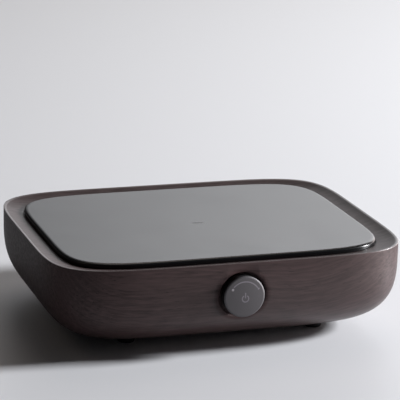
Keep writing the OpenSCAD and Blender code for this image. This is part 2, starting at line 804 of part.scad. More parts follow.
module encoder_washer() color("#b9bcc0") in_place()
    on_knob_axis(recess_y - washer_t) washer(nut_af / 2 + 1, bush_d / 2 + screw_gap, washer_t);

module encoder_nut() color("#c2a14d") in_place() on_knob_axis(recess_y - washer_t - nut_t) difference() {
    cylinder(d = nut_af / cos(30), h = nut_t, $fn = 6);
    translate([0, 0, -1]) cylinder(r = bush_d / 2 + run_gap, h = nut_t + 2);
}

// Sprung dome under the shaft's end, on the control board
dome_r = shaft_d / 2;
module press_dome() color("#d0d3d6") in_place() on_knob_axis(control_y - dome_h)
    rotate_extrude() polygon([
        [0, 0], [dome_r * 0.45, 0.1], [dome_r * 0.8, dome_h * 0.45], [dome_r, dome_h], [0, dome_h]
    ]);

// Knob: a moulded cup, the bevelled metal disc let into its front, and the hub that grips the shaft
knob_r = knob_d / 2;
disc_lip = 0.4;
cup_r = knob_r - disc_lip;
cup_in_r = cup_r - knob_wall;
disc_boss_r = cup_in_r * 0.6;
disc_boss_h = (knob_face_t - disc_t) / 2;
knob_l = knob_out + recess_l - press_travel - fit_gap;
grip_r = shaft_d / 2 + 2;
hub_plate_t = 1.4;
module knob() color("#1b1b1d") in_place() on_knob_axis(knob_y) rotate_extrude() polygon([
    [0, disc_t + disc_boss_h],
    [disc_boss_r + run_gap, disc_t + disc_boss_h],
    [disc_boss_r + run_gap, disc_t],
    [cup_r, disc_t],
    [cup_r, knob_l],
    [cup_in_r, knob_l],
    [cup_in_r, knob_face_t],
    [0, knob_face_t]
]);

module knob_face() color("#6f7174") in_place() on_knob_axis(knob_y) rotate_extrude() polygon([
    [0, 0],
    [knob_r - knob_bevel, 0],
    [knob_r - knob_bevel * 0.3, knob_bevel * 0.3],
    [knob_r, knob_bevel],
    [knob_r, disc_t],
    [disc_boss_r, disc_t],
    [disc_boss_r, disc_t + disc_boss_h],
    [0, disc_t + disc_boss_h]
]);

module knob_hub() color("#2a2b2d") in_place() difference() {
    union() {
        on_knob_axis(knob_y + knob_face_t) cylinder(r = cup_in_r - run_gap, h = hub_plate_t);
        on_knob_axis(knob_y + knob_face_t) cylinder(r = grip_r, h = hub_end - knob_y - knob_face_t);
    }
    difference() {
        on_knob_axis(shaft_tip - tip_gap / 2) cylinder(r = shaft_d / 2 + run_gap, h = hub_end - shaft_tip + 1);
        on_knob_axis(shaft_tip - 1) flat_side(run_gap);
    }
}

// Power inlet at the back: flanged shell, three pins and two screws
shell_l = socket_l - flange_t + 6;
pin = [2, 4];
pin_row = 4;
pin_tip = 5;
pin_tail = 7;
pin_span = 14;
pin_places = [[-pin_span / 2, pin_row / 2], [pin_span / 2, pin_row / 2], [0, -pin_row / 2]];
pin_gap = 0.05;
// Mouth of the socket: its two upper corners are cut off, so a lead goes in one way up
socket_cut = 4.5;
socket_mouth = [
    [-socket_w / 2, socket_h / 2],
    [socket_w / 2, socket_h / 2],
    [socket_w / 2, socket_cut - socket_h / 2],
    [socket_w / 2 - socket_cut, -socket_h / 2],
    [socket_cut - socket_w / 2, -socket_h / 2],
    [-socket_w / 2, socket_cut - socket_h / 2]
];
module inlet_shell() color("#17181a") in_place() difference() {
    union() {
        on_inlet_axis(seat_y) linear_extrude(flange_t) polygon(round_rect(flange_w, flange_h, 3));
        on_inlet_axis(seat_y - shell_l) translate([0, 0, shell_l / 2 + eps])
            cube([socket_body_w, socket_body_h, shell_l], center = true);
    }
    on_inlet_axis(seat_y + flange_t - socket_l) linear_extrude(socket_l + 1) polygon(socket_mouth);
    for (p = pin_places) on_inlet_axis(seat_y - shell_l - 1) translate([p.x, p.y, shell_l / 2])
        cube([pin.x + 2 * pin_gap, pin.y + 2 * pin_gap, shell_l + 2], center = true);
    for (s = [-1, 1]) on_inlet_axis(seat_y - 1) translate([s * flange_span / 2, 0, 0]) {
        cylinder(r = inlet_screw[2] + screw_gap, h = flange_t + 2);
        translate([0, 0, 1 + flange_t - inlet_screw[1]]) cylinder(r = inlet_screw[0] + screw_gap, h = 2);
    }
}

module inlet_pins() color("#cfc7a8") in_place() {
    l = shell_l + pin_tail + flange_t - pin_tip;
    for (p = pin_places) on_inlet_axis(seat_y - shell_l - pin_tail) translate([p.x, p.y, l / 2])
        cube([pin.x, pin.y, l], center = true);
}

module inlet_screws() color("#2a2a2a") in_place()
    for (s = [-1, 1]) on_inlet_axis(seat_y + flange_t - inlet_screw[1]) translate([s * flange_span / 2, 0, 0])
        screw(inlet_screw[0], inlet_screw[1], inlet_screw[2], inlet_screw[3]);

housing();
glass_plate();
plate_seal();
heat_shield();
shield_screws();
element_pan();
insulation_base();
insulation_ring();
heating_coil();
limiter_rod();
limiter_head();
element_terminal();
terminal_tabs();
element_springs();
base_cover();
cover_screws();
feet();
fan_frame();
fan_rotor();
fan_screws();
main_board();
heat_sink();
relay();
transformer();
filter_capacitor();
fuse();
board_screws();
control_board();
encoder_body();
encoder_cover();
encoder_rotor();
encoder_shaft();
encoder_washer();
encoder_nut();
press_dome();
knob();
knob_face();
knob_hub();
inlet_shell();
inlet_pins();
inlet_screws();
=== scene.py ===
import json
from math import asin, cos, pi, radians, sin

import bmesh
import bpy
from mathutils import Matrix, Vector


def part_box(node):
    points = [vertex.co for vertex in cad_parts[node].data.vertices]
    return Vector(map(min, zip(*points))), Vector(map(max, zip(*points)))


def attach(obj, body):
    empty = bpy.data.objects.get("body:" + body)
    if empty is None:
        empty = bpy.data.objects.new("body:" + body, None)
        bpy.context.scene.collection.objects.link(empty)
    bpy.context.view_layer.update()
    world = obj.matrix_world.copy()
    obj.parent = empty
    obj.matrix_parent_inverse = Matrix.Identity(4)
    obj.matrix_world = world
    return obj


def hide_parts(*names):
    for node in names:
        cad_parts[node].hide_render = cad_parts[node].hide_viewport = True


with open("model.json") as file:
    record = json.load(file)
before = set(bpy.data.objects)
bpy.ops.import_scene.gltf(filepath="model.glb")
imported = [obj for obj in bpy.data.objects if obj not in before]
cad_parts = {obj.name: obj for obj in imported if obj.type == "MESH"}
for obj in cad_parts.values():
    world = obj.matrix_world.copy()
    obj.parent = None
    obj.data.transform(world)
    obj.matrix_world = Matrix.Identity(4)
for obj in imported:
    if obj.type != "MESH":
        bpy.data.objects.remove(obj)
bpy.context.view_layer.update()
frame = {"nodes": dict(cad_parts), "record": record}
nodes = frame["nodes"]
scene = bpy.context.scene
mm = 0.001
weldMm = 0.001  # Points closer than this are one
tinyMm = 0.01  # Play when edges are picked by their height
pastMm = 1  # How far a cutter reaches past the face it cuts, or a joined shape into its mate
edgeMiddle = 0.3  # Middle point of a small rounded edge, as a share of its size
turns = dict(face=160, ring=128, foot=64, hole=48, screw=40, dot=32)  # Steps round turned shapes
noiseLow, noiseHigh = 0.35, 0.65  # Where most of a noise lies
noiseFloor, noiseTop = 0.3, 0.7  # Where nearly all of it lies
print("frame loaded with", len(nodes), "CAD nodes")

# Pieces are modelled in millimetres about the tub's own middle, which lies at this Y in the frame
tubLow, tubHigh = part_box("housing")
middleY = (tubLow.y + tubHigh.y) / 2


# Tools for materials

def linear(hexText):
    parts = [int(hexText[i:i + 2], 16) / 255 for i in (1, 3, 5)]
    return tuple(c / 12.92 if c <= 0.04045 else ((c + 0.055) / 1.055) ** 2.4 for c in parts) + (1.0,)


def addNode(tree, kind, sets=None, links=None):
    node = tree.nodes.new("ShaderNode" + kind)
    for key, value in (sets or {}).items():
        if key == "stops":
            bar = node.color_ramp.elements
            while len(bar) < len(value):
                bar.new(0.5)
            for stop, (place, hexText) in zip(bar, value):
                stop.position, stop.color = place, linear(hexText)
        elif isinstance(key, int) or key in node.inputs:
            node.inputs[key].default_value = value
        else:
            setattr(node, key, value)
    for key, source in (links or {}).items():
        tree.links.new(source, node.inputs[key])
    return node


def newMaterial(name, sets):
    material = bpy.data.materials.new(name)
    material.use_nodes = True
    tree = material.node_tree
    shader = tree.nodes["Principled BSDF"]
    for key, value in sets.items():
        shader.inputs[key].default_value = value
    return material, tree, shader


# Tools for shapes

def newObject(name, bm, material=None):
    mesh = bpy.data.meshes.new(name)
    bm.to_mesh(mesh)
    bm.free()
    piece = bpy.data.objects.new(name, mesh)
    scene.collection.objects.link(piece)
    if material:
        mesh.materials.append(material)
    return piece


def finishPiece(name, bm, material, body, replaced=(), sharp=32):
    # Points that bevels and cuts leave on top of each other
    bmesh.ops.remove_doubles(bm, verts=bm.verts, dist=weldMm)
    bmesh.ops.dissolve_degenerate(bm, edges=bm.edges, dist=weldMm)
    # From millimetres about the tub's middle to metres in the frame
    bmesh.ops.scale(bm, vec=(mm, mm, mm), verts=bm.verts)
    bmesh.ops.translate(bm, vec=(0, middleY, 0), verts=bm.verts)
    for face in bm.faces:
        face.smooth = True
    piece = newObject(name, bm, material)
    piece.data.set_sharp_from_angle(angle=radians(sharp))
    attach(piece, body)
    if replaced:
        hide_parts(*replaced)
    return piece


def carve(bm, tools, way="DIFFERENCE"):
    solid = newObject("solid", bm)
    cutters = [newObject("cutter", tool) for tool in tools]
    for cutter in cutters:
        cut = solid.modifiers.new("cut", "BOOLEAN")
        cut.object, cut.operation, cut.solver = cutter, way, "EXACT"
    depsgraph = bpy.context.evaluated_depsgraph_get()
    result = bmesh.new()
    result.from_mesh(bpy.data.meshes.new_from_object(solid.evaluated_get(depsgraph)))
    for old in [solid, *cutters]:
        bpy.data.objects.remove(old)
    return result


def together(shapes):
    whole = bmesh.new()
    for shape in shapes:
        mesh = bpy.data.meshes.new("shape")
        shape.to_mesh(mesh)
        shape.free()
        whole.from_mesh(mesh)
        bpy.data.meshes.remove(mesh)
    return whole


def newVerts(made):
    return [g for g in made["geom"] if isinstance(g, bmesh.types.BMVert)]


def outlineRing(bm, halfX, halfY, z, squareness, count):
    ring = bmesh.ops.create_circle(bm, cap_ends=False, radius=1, segments=count)["verts"]
    for v in ring:  # A circle pushed out to a soft square
        v.co *= (abs(v.co.x) ** squareness + abs(v.co.y) ** squareness) ** (-1 / squareness)
    bmesh.ops.scale(bm, vec=(halfX, halfY, 1), verts=ring)
    bmesh.ops.translate(bm, vec=(0, 0, z), verts=ring)
    return ring


def ringEdges(ring):
    inRing = set(ring)
    return [e for e in {e for v in ring for e in v.link_edges} if inRing.issuperset(e.verts)]


def stackRings(bm, halfX, halfY, profile, squareness, count):
    # Each step of the profile is an inset from the widest outline and a height
    inset, z = profile[0]
    ring = first = outlineRing(bm, halfX - inset, halfY - inset, z, squareness, count)
    for nextInset, nextZ in profile[1:]:
        ring = newVerts(bmesh.ops.extrude_edge_only(bm, edges=ringEdges(ring)))
        grow = ((halfX - nextInset) / (halfX - inset), (halfY - nextInset) / (halfY - inset), 1)
        bmesh.ops.scale(bm, vec=grow, verts=ring)
        bmesh.ops.translate(bm, vec=(0, 0, nextZ - z), verts=ring)
        inset, z = nextInset, nextZ
    bmesh.ops.contextual_create(bm, geom=ringEdges(first))
    bmesh.ops.contextual_create(bm, geom=ringEdges(ring))
    bmesh.ops.recalc_face_normals(bm, faces=bm.faces)


def spinProfile(bm, profile, steps):
    # Radius and height pairs, turned once about Z
    verts = [bm.verts.new((r, 0, z)) for r, z in profile]
    edges = [bm.edges.new(pair) for pair in zip(verts, verts[1:])]
    bmesh.ops.spin(bm, geom=verts + edges, axis=(0, 0, 1), cent=(0, 0, 0), angle=2 * pi,
                   steps=steps, use_merge=True, use_duplicate=False)
    bmesh.ops.remove_doubles(bm, verts=bm.verts, dist=weldMm)
    bmesh.ops.recalc_face_normals(bm, faces=bm.faces)


def spunShape(profile, steps):
    bm = bmesh.new()
    spinProfile(bm, profile, steps)
    return bm


def roundedBar(width, depth, height, corner, steps=6):
    # Box from z = 0 up, its four upright edges rounded
    bm = bmesh.new()
    bmesh.ops.create_cube(bm, size=1)
    bmesh.ops.scale(bm, vec=(width, depth, height), verts=bm.verts)
    bmesh.ops.translate(bm, vec=(0, 0, height / 2), verts=bm.verts)
    if corner:
        upright = [e for e in bm.edges if abs(e.verts[0].co.z - e.verts[1].co.z) > height / 2]
        bmesh.ops.bevel(bm, geom=upright, offset=corner, affect="EDGES", segments=steps,
                        profile=0.5, material=-1)
    return bm


def moveShape(bm, place, turn=None):
    if turn:
        bmesh.ops.rotate(bm, cent=(0, 0, 0), matrix=turn, verts=bm.verts)
    bmesh.ops.translate(bm, vec=place, verts=bm.verts)
    return bm


def bevelSharp(bm, width, chosen, segments=3, angle=30):
    edges = [e for e in bm.edges
             if len(e.link_faces) == 2 and e.calc_face_angle() > radians(angle) and chosen(e)]
    bmesh.ops.bevel(bm, geom=edges, offset=width, affect="EDGES", segments=segments,
                    profile=0.5, material=-1, clamp_overlap=True)


alongY = Matrix.Rotation(-pi / 2, 3, "X")  # +Z to +Y
outFront = Matrix.Rotation(pi / 2, 3, "X")  # +Z to -Y
upsideDown = Matrix.Rotation(pi, 3, "X")


# Walnut, milled, stained and oiled: soft streaks that climb round the corners, fine pores, a low sheen and a
# painted highlight along the crest
walnut = dict(
    # Tones, and where each lies on the scale of the grain
    tones=((0.3, "#291f1f"), (0.58, "#392d2d"), (0.9, "#473738")), pore="#1a1415",
    # The log: its heart, its lean in degrees, and how it bows, sways and ripples
    heartY=70, heartZ=-62, lean=(0.4, -4, 1.3), bowMm=(30, 190), bowRiseMm=37,
    swayMm=(46, 9), swayStretch=0.25, rippleMm=(11, 1.3), rippleStretch=0.5,
    # Rings, streaks, fibres and pores: width across the log and length along it in widths
    ringMm=2.6, yearScale=0.45, yearPull=2.4, streakMm=1.0, streakLength=8, fibreMm=0.5, fibreLength=30,
    poreMm=0.35, poreLength=18, poreEdge=(0.62, 0.74), patchMm=90, fadeMm=26, fadeStretch=0.4, fadeLeast=0.2,
    # How much each adds to the grain, from its base
    base=0.04, patchShare=0.5, ringShare=0.22, streakShare=0.9, fibreShare=0.3,
    # Surface
    gloss=0.16, roughness=(0.48, 0.62), streakSpan=(0.3, 0.75), relief=0.35, reliefMm=0.04,
    # The crest's paler tone is a painted highlight; its lower roughness is a real polish
    rubbedAndHighlit="#453b3b", rubbedRoughness=0.24, rubbedAndHighlitMm=(67.3, 67.7),
    oil=0.8, oilRoughness=0.36, oilX=(-130, 30), oilZ=(70, 25), dryMm=(19.5, 22), dryAt=(0, -108, 44),
    polish=0.42, polishTilt=(0.8, 0.95), polishY=(103, 75))

# Early and late wood along one year's ring
yearRing = ((0.0, "#808080"), (0.15, "#e8e8e8"), (0.6, "#bcbcbc"), (0.86, "#6a6a6a"), (1.0, "#808080"))


def makeWalnut():
    w = walnut
    material, tree, shader = newMaterial("oiled walnut, milled", {
        "IOR": 1.5, "Specular IOR Level": w["gloss"], "Coat Roughness": w["oilRoughness"]})
    place = addNode(tree, "TexCoord").outputs["Object"]
    # The log lies along X, its heart behind and below the block
    log = addNode(tree, "Mapping", {
        "Location": (0, -w["heartY"] * mm, -w["heartZ"] * mm),
        "Rotation": tuple(radians(a) for a in w["lean"])}, {"Vector": place}).outputs[0]
    # The log bows up on the right, with a slow sway and a finer ripple, both drawn out along it
    start, end = w["bowMm"]
    run, reach, height = addNode(tree, "SeparateXYZ", None, {0: place}).outputs
    rise = addNode(tree, "MapRange", {
        "interpolation_type": "SMOOTHSTEP", "From Min": start * mm, "From Max": end * mm,
        "To Max": w["bowRiseMm"] * mm}, {"Value": run}).outputs[0]
    bow = addNode(tree, "CombineXYZ", None, {2: rise}).outputs[0]
    bent = addNode(tree, "VectorMath", {"operation": "SUBTRACT"}, {0: log, 1: bow}).outputs[0]
    for (size, swing), stretch in ((w["swayMm"], w["swayStretch"]), (w["rippleMm"], w["rippleStretch"])):
        drawn = addNode(tree, "Mapping", {"Scale": (stretch, 1, 1)}, {"Vector": log}).outputs[0]
        sway = addNode(tree, "TexNoise", {"Scale": 1 / (size * mm), "Detail": 2.0, "Roughness": 0.5},
                       {"Vector": drawn}).outputs["Color"]
        bent = addNode(tree, "VectorMath", {"operation": "MULTIPLY_ADD", 1: (0, swing * mm, swing * mm)},
                       {0: sway, 2: bent}).outputs[0]
    across = addNode(tree, "VectorMath", {"operation": "MULTIPLY", 1: (0, 1, 1)}, {0: bent}).outputs[0]
    heart = addNode(tree, "VectorMath", {"operation": "LENGTH"}, {0: across}).outputs["Value"]
    years = addNode(tree, "Math", {"operation": "MULTIPLY", 1: 1 / (w["ringMm"] * mm)}, {0: heart}).outputs[0]
    # Good and bad years
    season = addNode(tree, "TexNoise", {"noise_dimensions": "1D", "Scale": w["yearScale"], "Detail": 2.0},
                     {"W": years}).outputs[0]
    pulled = addNode(tree, "Math", {"operation": "MULTIPLY_ADD", 1: w["yearPull"]},
                     {0: season, 2: years}).outputs[0]
    ring = addNode(tree, "Math", {"operation": "FRACT"}, {0: pulled}).outputs[0]
    late = addNode(tree, "ValToRGB", {"stops": yearRing}, {0: ring}).outputs[0]
    # Streaks, fibres and pores lie along the log; the pores are wider than the real 0.15 mm, to show
    streaks = []
    for size, length in ((w["streakMm"], w["streakLength"]), (w["fibreMm"], w["fibreLength"]),
                         (w["poreMm"], w["poreLength"])):
        fine = addNode(tree, "Mapping", {"Scale": (1 / length, 1, 1)}, {"Vector": bent}).outputs[0]
        lines = addNode(tree, "TexNoise", {"Scale": 1 / (2 * size * mm), "Detail": 2.0, "Roughness": 0.55},
                        {"Vector": fine}).outputs[0]
        streaks.append(lines)
    streak, fibre, pore = streaks
    few, many = w["poreEdge"]
    poreMask = addNode(tree, "MapRange", {"From Min": few, "From Max": many}, {"Value": pore}).outputs[0]
    # Broad patches of tone, a hand wide, and smaller ones where the streaks show or fade
    patch = addNode(tree, "TexNoise", {"Scale": 1 / (w["patchMm"] * mm), "Detail": 2.0},
                    {"Vector": log}).outputs[0]
    drawn = addNode(tree, "Mapping", {"Scale": (w["fadeStretch"], 1, 1)}, {"Vector": log}).outputs[0]
    fade = addNode(tree, "TexNoise", {"Scale": 1 / (w["fadeMm"] * mm), "Detail": 1.0},
                   {"Vector": drawn}).outputs[0]
    shown = addNode(tree, "MapRange", {
        "From Min": noiseLow, "From Max": noiseHigh, "To Min": w["fadeLeast"]}, {"Value": fade}).outputs[0]
    swing = addNode(tree, "Math", {"operation": "SUBTRACT", 1: 0.5}, {0: streak}).outputs[0]
    shy = addNode(tree, "Math", {"operation": "MULTIPLY"}, {0: swing, 1: shown}).outputs[0]
    grain = addNode(tree, "Math", {"operation": "MULTIPLY_ADD", 1: w["patchShare"], 2: w["base"]},
                    {0: patch}).outputs[0]
    for source, share in ((late, w["ringShare"]), (shy, w["streakShare"]), (fibre, w["fibreShare"])):
        grain = addNode(tree, "Math", {"operation": "MULTIPLY_ADD", 1: share},
                        {0: source, 2: grain}).outputs[0]
    colour = addNode(tree, "ValToRGB", {"stops": w["tones"]}, {0: grain}).outputs[0]
    dark = addNode(tree, "Mix", {"data_type": "RGBA", 7: linear(w["pore"])},
                   {0: poreMask, 6: colour}).outputs[2]
    # The crest is rubbed smoother by hands and cloths, and drawn paler along its edge as a painted highlight
    bottom, top = w["rubbedAndHighlitMm"]
    rubbedAndHighlit = addNode(tree, "MapRange", {"From Min": bottom * mm, "From Max": top * mm},
                     {"Value": height}).outputs[0]
    highlitCrest = addNode(tree, "Mix", {"data_type": "RGBA", 7: linear(w["rubbedAndHighlit"])},
                   {0: rubbedAndHighlit, 6: dark}).outputs[2]
    tree.links.new(highlitCrest, shader.inputs["Base Color"])
    low, high = w["roughness"]
    faint, strong = w["streakSpan"]
    rough = addNode(tree, "MapRange", {"From Min": faint, "From Max": strong, "To Min": high, "To Max": low},
                    {"Value": streak}).outputs[0]
    smooth = addNode(tree, "Mix", {"data_type": "FLOAT", 3: w["rubbedRoughness"]},
                     {0: rubbedAndHighlit, 2: rough}).outputs[0]
    tree.links.new(smooth, shader.inputs["Roughness"])
    # The oil lies thicker on the crest, low down and towards the right, and the knob's recess is left dry
    fromKnob = addNode(tree, "VectorMath", {"operation": "DISTANCE", 1: tuple(v * mm for v in w["dryAt"])},
                       {0: place}).outputs["Value"]
    along, down, outside = [
        addNode(tree, "MapRange", {"From Min": first * mm, "From Max": last * mm, "To Max": most},
                {"Value": source}).outputs[0]
        for source, (first, last), most in ((run, w["oilX"], 1.0), (height, w["oilZ"], w["oil"]),
                                            (fromKnob, w["dryMm"], 1.0))]
    oil = addNode(tree, "Math", {"operation": "MAXIMUM"}, {0: down, 1: rubbedAndHighlit}).outputs[0]
    for share in (along, outside):
        oil = addNode(tree, "Math", {"operation": "MULTIPLY"}, {0: oil, 1: share}).outputs[0]
    # The rim is wiped along with the plate, which polishes it, but hardly at the back
    normal = addNode(tree, "TexCoord").outputs["Normal"]
    facing = addNode(tree, "SeparateXYZ", None, {0: normal}).outputs["Z"]
    leaning, level = w["polishTilt"]
    wiped = addNode(tree, "MapRange", {"From Min": leaning, "From Max": level, "To Max": w["polish"]},
                    {"Value": facing}).outputs[0]
    far, near = w["polishY"]
    handy = addNode(tree, "MapRange", {"From Min": far * mm, "From Max": near * mm},
                    {"Value": reach}).outputs[0]
    polished = addNode(tree, "Math", {"operation": "MULTIPLY"}, {0: wiped, 1: handy}).outputs[0]
    shine = addNode(tree, "Math", {"operation": "MAXIMUM"}, {0: oil, 1: polished}).outputs[0]
    tree.links.new(shine, shader.inputs["Coat Weight"])
    relief = addNode(tree, "Math", {"operation": "SUBTRACT"}, {0: fibre, 1: poreMask}).outputs[0]
    bump = addNode(tree, "Bump", {"Strength": w["relief"], "Distance": w["reliefMm"] * mm},
                   {"Height": relief}).outputs[0]
    tree.links.new(bump, shader.inputs["Normal"])
    return material


# Glass ceramic, rolled and etched satin on top: near black, with a broad soft reflection
plateGlass = dict(colour="#0b0b0d", cloud="#121214", roughness=(0.215, 0.245), cloudMm=45, grainMm=1.1,
                  grainStrength=0.05, grainDepthMm=0.01, mark=(-1, -5), markMm=(10, 3.6), markEdge=(0.8, 1.2),
                  markRoughness=0.35)


def makePlateGlass():
    g = plateGlass
    material, tree, shader = newMaterial("glass ceramic, satin black", {"IOR": 1.52})
    place = addNode(tree, "TexCoord").outputs["Object"]
    cloud = addNode(tree, "TexNoise", {"Scale": 1 / (g["cloudMm"] * mm), "Detail": 3.0},
                    {"Vector": place}).outputs[0]
    colour = addNode(tree, "Mix", {"data_type": "RGBA", 6: linear(g["colour"]), 7: linear(g["cloud"])},
                     {0: cloud}).outputs[2]
    tree.links.new(colour, shader.inputs["Base Color"])
    low, high = g["roughness"]
    rough = addNode(tree, "MapRange", {
        "From Min": noiseLow, "From Max": noiseHigh, "To Min": low, "To Max": high},
        {"Value": cloud}).outputs[0]
    # A faint matt oval, printed over the heater's middle, shows darker than the satin round it
    (x, y), (wide, deep) = g["mark"], g["markMm"]
    offset = addNode(tree, "VectorMath", {
        "operation": "MULTIPLY_ADD", 1: (2 / (wide * mm), 2 / (deep * mm), 0),
        2: (-2 * x / wide, -2 * (y + middleY / mm) / deep, 0)}, {0: place}).outputs[0]
    away = addNode(tree, "VectorMath", {"operation": "LENGTH"}, {0: offset}).outputs["Value"]
    inner, outer = g["markEdge"]
    bare = addNode(tree, "MapRange", {"From Min": inner, "From Max": outer}, {"Value": away}).outputs[0]
    satin = addNode(tree, "Mix", {"data_type": "FLOAT", 2: g["markRoughness"]},
                    {0: bare, 3: rough}).outputs[0]
    tree.links.new(satin, shader.inputs["Roughness"])
    grain = addNode(tree, "TexNoise", {"Scale": 1 / (g["grainMm"] * mm), "Detail": 2.0},
                    {"Vector": place}).outputs[0]
    bump = addNode(tree, "Bump", {"Strength": g["grainStrength"], "Distance": g["grainDepthMm"] * mm},
                   {"Height": grain}).outputs[0]
    tree.links.new(bump, shader.inputs["Normal"])
    return material


# Aluminium, turned with a soft edge, bead blasted and anodised dark grey: an even satin with a fine grit
knobMetal = dict(face="#484749", fleck="#515053", metallic=0.5, roughness=(0.5, 0.58),
                 gritMm=0.35, gritStrength=0.3, gritDepthMm=0.01)


def makeKnobMetal():
    m = knobMetal
    material, tree, shader = newMaterial("aluminium, blasted, anodised", {"Metallic": m["metallic"]})
    place = addNode(tree, "TexCoord").outputs["Object"]
    grit = addNode(tree, "TexNoise", {"Scale": 1 / (m["gritMm"] * mm), "Detail": 3.0, "Roughness": 0.6},
                   {"Vector": place}).outputs[0]
    colour = addNode(tree, "Mix", {"data_type": "RGBA", 6: linear(m["face"]), 7: linear(m["fleck"])},
                     {0: grit}).outputs[2]
    tree.links.new(colour, shader.inputs["Base Color"])
    low, high = m["roughness"]
    rough = addNode(tree, "MapRange", {
        "From Min": noiseFloor, "From Max": noiseTop, "To Min": low, "To Max": high},
        {"Value": grit}).outputs[0]
    tree.links.new(rough, shader.inputs["Roughness"])
    bump = addNode(tree, "Bump", {"Strength": m["gritStrength"], "Distance": m["gritDepthMm"] * mm},
                   {"Height": grit}).outputs[0]
    tree.links.new(bump, shader.inputs["Normal"])
    return material


# Plain finishes: name, two tones, roughness range, metallic, mottle in mm, stretch in X, Y, Z, bump in mm
finishes = {
    # Ink, pad printed on the knob: the sign and the arc in grey, the pointer in white
    "grey_ink": ("ink, printed grey", "#625f66", "#6a676e", 0.5, 0.6, 0.0, 0.4, (1, 1, 1), 0.003),
    "white_ink": ("ink, printed white", "#838186", "#8e8c91", 0.5, 0.6, 0.0, 0.4, (1, 1, 1), 0.003),
    # Rubber, moulded: matt, a little dusty
    "black_rubber": ("rubber, moulded", "#151515", "#1e1e1e", 0.62, 0.8, 0.0, 0.8, (1, 1, 1), 0.02),
    # ABS, moulded with a fine spark texture: an even, low sheen
    "black_plastic": ("ABS, spark textured", "#141416", "#1c1c1f", 0.42, 0.55, 0.0, 0.5, (1, 1, 1), 0.03),
    # Steel sheet, zinc plated and pressed: streaks along the rolling direction
    "sheet_steel": ("steel sheet, zinc plated", "#a7abb0", "#c3c6c9", 0.28, 0.42, 1.0, 1.2, (0.08, 1, 1),
                    0.01),
    # Steel, headed and nickel plated: a clean, bright shine
    "screw_steel": ("steel screw, nickel plated", "#a9aaac", "#c6c6c6", 0.22, 0.32, 1.0, 0.5, (1, 1, 1),
                    0.005),
    # Steel, blackened: dark with a dull shine
    "black_screw": ("steel screw, blackened", "#2b2c2e", "#3a3b3d", 0.32, 0.45, 1.0, 0.4, (1, 1, 1), 0.008),
    # Spring steel, drawn and polished: bright, with faint lines along X
    "spring_steel": ("spring steel, drawn", "#9a9ea3", "#b9bdc1", 0.2, 0.33, 1.0, 0.6, (0.2, 1, 1), 0.004),
    # Iron chromium ribbon, oxidised by heat: brown bloom over grey
    "heating_alloy": ("heating ribbon, oxidised", "#5b4434", "#7d6450", 0.45, 0.65, 0.8, 2.5, (1, 1, 1),
                      0.01),
    # Ceramic fibre, vacuum formed: chalky and soft
    "fibre_insulation": ("ceramic fibre, vacuum formed", "#d8d3c6", "#ece8de", 0.85, 0.95, 0.0, 1.6,
                         (1, 1, 1), 0.12),
    # Steatite, pressed and fired, without glaze: cream and stony
    "steatite": ("steatite, fired", "#cfc5b0", "#e2dac9", 0.5, 0.65, 0.0, 1.2, (1, 1, 1), 0.02),
    # Brass, stamped: a warm sheen with fine drawn lines
    "brass": ("brass, stamped", "#b08a3e", "#cfae63", 0.25, 0.38, 1.0, 0.7, (0.15, 1, 1), 0.006),
    # Board laminate under green lacquer, its weave showing faintly
    "board_green": ("board laminate, lacquered", "#174a2b", "#23603a", 0.25, 0.35, 0.0, 0.9, (1, 1, 1), 0.01),
    # Aluminium, extruded: lines along the fins
    "sink_aluminium": ("aluminium, extruded", "#8b9095", "#a7abaf", 0.3, 0.42, 1.0, 0.8, (0.05, 1, 1), 0.01),
    # Nylon case, moulded: blue with a soft shine
    "relay_blue": ("nylon case, moulded", "#1f4a92", "#2a5aa8", 0.35, 0.48, 0.0, 0.8, (1, 1, 1), 0.015),
    # Core sheets, stacked and varnished: fine dark lines under a thin gloss
    "core_iron": ("core iron, varnished", "#4f4b45", "#6b665d", 0.4, 0.6, 0.35, 0.5, (1, 0.1, 1), 0.02),
    # Film capacitor, cast in an epoxy case: yellow and smooth
    "capacitor_yellow": ("epoxy case, cast", "#b79d2c", "#cfb544", 0.3, 0.4, 0.0, 1.0, (1, 1, 1), 0.01),
    # Ceramic fuse tube, glazed: white and shiny
    "fuse_ceramic": ("fuse ceramic, glazed", "#c9c9c2", "#dedcd4", 0.2, 0.3, 0.0, 0.8, (1, 1, 1), 0.005),
    # Nylon, moulded without dye: a milky white
    "white_nylon": ("nylon, natural", "#d9d4c6", "#e8e4d9", 0.4, 0.5, 0.0, 0.8, (1, 1, 1), 0.01),
}
blotchMm, bumpStrength = 14, 0.4


